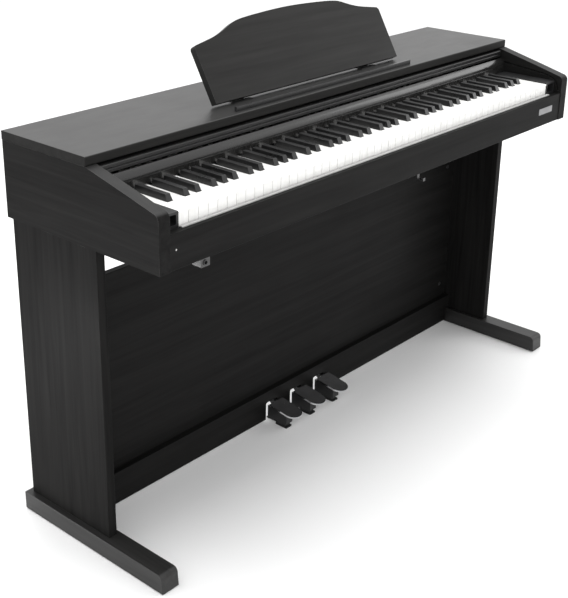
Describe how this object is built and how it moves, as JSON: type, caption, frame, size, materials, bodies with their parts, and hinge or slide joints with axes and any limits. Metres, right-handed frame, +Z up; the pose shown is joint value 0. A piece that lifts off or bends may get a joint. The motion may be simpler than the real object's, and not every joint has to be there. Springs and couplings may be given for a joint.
{
  "type": "digital piano on stand",
  "caption": "Black digital piano on a panel stand, with weighted-style keys, folding music rest, sliding key cover and chrome foot pedals.",
  "frame": {"origin": "on the floor, midway between the outer sides and midway between front and back of the bounding box", "axes": "+X to the treble end, -Y towards the player, +Z up"},
  "size_m": [1.376, 0.412, 0.9493],
  "materials": {
    "black_veneer": "black satin wood-grain foil on particle board",
    "black_gloss": "polished black",
    "black_plastic": "fine-textured black plastic",
    "ivory_white": "smooth white key top",
    "sharp_black": "satin black key",
    "pedal_chrome": "polished",
    "steel": "zinc plated",
    "black_steel": "black enamel",
    "felt_grey": "light grey felt strip",
    "rubber_black": "soft",
    "silver_plate": "blank satin plate",
    "led_lens": "red lens",
    "board_green": "circuit board",
    "speaker_paper": "paper cone in a steel frame"
  },
  "bodies": {
    "cabinet_and_stand": {"left_leg_panel": "black_veneer", "right_leg_panel": "black_veneer", "left_foot": "black_veneer", "right_foot": "black_veneer", "foot_glides": "rubber_black", "back_panel": "black_veneer", "pedal_rail": "black_veneer", "stand_fixings": "steel", "pedal_posts": "black_plastic", "pedal_pivot_rod": "steel", "pedal_springs": "steel", "keybed_board": "black_veneer", "left_cheek": "black_veneer", "right_cheek": "black_veneer", "cabinet_back": "black_veneer", "top_lid": "black_gloss", "key_slip": "black_veneer", "key_slip_felt": "felt_grey", "left_key_block": "black_plastic", "right_key_block": "black_plastic", "fascia": "black_veneer", "power_led": "led_lens", "badge_plate": "silver_plate", "headphone_box": "black_plastic", "headphone_hook": "black_plastic", "rear_jack_panel": "black_plastic", "music_ledge": "black_plastic", "rest_hinge_bases": "black_steel", "key_frame": "steel", "circuit_boards": "board_green", "speakers": "speaker_paper"},
    "music_rest": {"music_rest": "black_gloss", "rest_hinge_arms": "black_steel"},
    "cover_carriage": {"cover_carriage": "steel"},
    "key_cover": {"key_cover": "black_gloss", "cover_handle": "black_plastic"},
    "soft_pedal": {"soft_pedal": "black_plastic", "soft_pedal_plate": "pedal_chrome"},
    "sostenuto_pedal": {"sostenuto_pedal": "black_plastic", "sostenuto_pedal_plate": "pedal_chrome"},
    "damper_pedal": {"damper_pedal": "black_plastic", "damper_pedal_plate": "pedal_chrome"},
    "power_button": {"power_button": "black_plastic"},
    "volume_knob": {"volume_knob": "black_plastic"},
    "key_c4": {"key_c4": "ivory_white"},
    "key_d4": {"key_d4": "ivory_white"},
    "key_e4": {"key_e4": "ivory_white"},
    "key_f4": {"key_f4": "ivory_white"},
    "key_g4": {"key_g4": "ivory_white"},
    "key_a4": {"key_a4": "ivory_white"},
    "key_b4": {"key_b4": "ivory_white"},
    "key_c_sharp4": {"key_c_sharp4": "sharp_black"},
    "key_d_sharp4": {"key_d_sharp4": "sharp_black"},
    "key_f_sharp4": {"key_f_sharp4": "sharp_black"},
    "key_g_sharp4": {"key_g_sharp4": "sharp_black"},
    "key_a_sharp4": {"key_a_sharp4": "sharp_black"},
    "bass_naturals": {"bass_naturals": "ivory_white"},
    "bass_sharps": {"bass_sharps": "sharp_black"},
    "treble_naturals": {"treble_naturals": "ivory_white"},
    "treble_sharps": {"treble_sharps": "sharp_black"}
  },
  "joints": [
    {"name": "music_rest_fold", "type": "hinge", "parent": "cabinet_and_stand", "child": "music_rest", "pos_m": [0, 0.05, 0.8045], "axis": [-1, 0, 0], "range_deg": [0, 62]},
    {"name": "cover_slide", "type": "slide", "parent": "cabinet_and_stand", "child": "cover_carriage", "axis": [0, -1, 0], "range_m": [0, 0.17]},
    {"name": "cover_tilt", "type": "hinge", "parent": "cover_carriage", "child": "key_cover", "pos_m": [0, 0.15, 0.774], "axis": [1, 0, 0], "range_deg": [0, 11.5]},
    {"name": "soft_pedal_press", "type": "hinge", "parent": "cabinet_and_stand", "child": "soft_pedal", "pos_m": [-0.0705, 0.092, 0.046], "axis": [1, 0, 0], "range_deg": [0, 6], "stiffness_Nm_per_rad": 6, "springref_deg": -8.59},
    {"name": "sostenuto_pedal_press", "type": "hinge", "parent": "cabinet_and_stand", "child": "sostenuto_pedal", "pos_m": [0.015, 0.092, 0.046], "axis": [1, 0, 0], "range_deg": [0, 6], "stiffness_Nm_per_rad": 6, "springref_deg": -8.59},
    {"name": "damper_pedal_press", "type": "hinge", "parent": "cabinet_and_stand", "child": "damper_pedal", "pos_m": [0.1005, 0.092, 0.046], "axis": [1, 0, 0], "range_deg": [0, 6], "stiffness_Nm_per_rad": 6, "springref_deg": -8.59},
    {"name": "power_button_press", "type": "slide", "parent": "cabinet_and_stand", "child": "power_button", "axis": [0, 1, 0], "range_m": [0, 0.002], "stiffness_N_per_m": 600, "springref_m": -0.001},
    {"name": "volume_knob_turn", "type": "hinge", "parent": "cabinet_and_stand", "child": "volume_knob", "pos_m": [-0.631, -0.17, 0.712], "axis": [0, 1, 0], "range_deg": [-135, 135]},
    {"name": "key_c4_press", "type": "hinge", "parent": "cabinet_and_stand", "child": "key_c4", "pos_m": [0, 0.04, 0.712], "axis": [1, 0, 0], "range_deg": [0, 2.5], "stiffness_Nm_per_rad": 1, "springref_deg": -12.61},
    {"name": "key_d4_press", "type": "hinge", "parent": "cabinet_and_stand", "child": "key_d4", "pos_m": [0, 0.04, 0.712], "axis": [1, 0, 0], "range_deg": [0, 2.5], "stiffness_Nm_per_rad": 1, "springref_deg": -12.61},
    {"name": "key_e4_press", "type": "hinge", "parent": "cabinet_and_stand", "child": "key_e4", "pos_m": [0, 0.04, 0.712], "axis": [1, 0, 0], "range_deg": [0, 2.5], "stiffness_Nm_per_rad": 1, "springref_deg": -12.61},
    {"name": "key_f4_press", "type": "hinge", "parent": "cabinet_and_stand", "child": "key_f4", "pos_m": [0, 0.04, 0.712], "axis": [1, 0, 0], "range_deg": [0, 2.5], "stiffness_Nm_per_rad": 1, "springref_deg": -12.61},
    {"name": "key_g4_press", "type": "hinge", "parent": "cabinet_and_stand", "child": "key_g4", "pos_m": [0, 0.04, 0.712], "axis": [1, 0, 0], "range_deg": [0, 2.5], "stiffness_Nm_per_rad": 1, "springref_deg": -12.61},
    {"name": "key_a4_press", "type": "hinge", "parent": "cabinet_and_stand", "child": "key_a4", "pos_m": [0, 0.04, 0.712], "axis": [1, 0, 0], "range_deg": [0, 2.5], "stiffness_Nm_per_rad": 1, "springref_deg": -12.61},
    {"name": "key_b4_press", "type": "hinge", "parent": "cabinet_and_stand", "child": "key_b4", "pos_m": [0, 0.04, 0.712], "axis": [1, 0, 0], "range_deg": [0, 2.5], "stiffness_Nm_per_rad": 1, "springref_deg": -12.61},
    {"name": "key_c_sharp4_press", "type": "hinge", "parent": "cabinet_and_stand", "child": "key_c_sharp4", "pos_m": [0, 0.04, 0.712], "axis": [1, 0, 0], "range_deg": [0, 2.5], "stiffness_Nm_per_rad": 1, "springref_deg": -12.61},
    {"name": "key_d_sharp4_press", "type": "hinge", "parent": "cabinet_and_stand", "child": "key_d_sharp4", "pos_m": [0, 0.04, 0.712], "axis": [1, 0, 0], "range_deg": [0, 2.5], "stiffness_Nm_per_rad": 1, "springref_deg": -12.61},
    {"name": "key_f_sharp4_press", "type": "hinge", "parent": "cabinet_and_stand", "child": "key_f_sharp4", "pos_m": [0, 0.04, 0.712], "axis": [1, 0, 0], "range_deg": [0, 2.5], "stiffness_Nm_per_rad": 1, "springref_deg": -12.61},
    {"name": "key_g_sharp4_press", "type": "hinge", "parent": "cabinet_and_stand", "child": "key_g_sharp4", "pos_m": [0, 0.04, 0.712], "axis": [1, 0, 0], "range_deg": [0, 2.5], "stiffness_Nm_per_rad": 1, "springref_deg": -12.61},
    {"name": "key_a_sharp4_press", "type": "hinge", "parent": "cabinet_and_stand", "child": "key_a_sharp4", "pos_m": [0, 0.04, 0.712], "axis": [1, 0, 0], "range_deg": [0, 2.5], "stiffness_Nm_per_rad": 1, "springref_deg": -12.61},
    {"name": "bass_naturals_press", "type": "hinge", "parent": "cabinet_and_stand", "child": "bass_naturals", "pos_m": [0, 0.04, 0.712], "axis": [1, 0, 0], "range_deg": [0, 2.5], "stiffness_Nm_per_rad": 23, "springref_deg": -12.61},
    {"name": "bass_sharps_press", "type": "hinge", "parent": "cabinet_and_stand", "child": "bass_sharps", "pos_m": [0, 0.04, 0.712], "axis": [1, 0, 0], "range_deg": [0, 2.5], "stiffness_Nm_per_rad": 16, "springref_deg": -12.61},
    {"name": "treble_naturals_press", "type": "hinge", "parent": "cabinet_and_stand", "child": "treble_naturals", "pos_m": [0, 0.04, 0.712], "axis": [1, 0, 0], "range_deg": [0, 2.5], "stiffness_Nm_per_rad": 22, "springref_deg": -12.61},
    {"name": "treble_sharps_press", "type": "hinge", "parent": "cabinet_and_stand", "child": "treble_sharps", "pos_m": [0, 0.04, 0.712], "axis": [1, 0, 0], "range_deg": [0, 2.5], "stiffness_Nm_per_rad": 15, "springref_deg": -12.61}
  ],
  "couplings": [
    {"joint": "cover_tilt", "follows": "cover_slide", "rad_per_m": 1.1796}
  ]
}
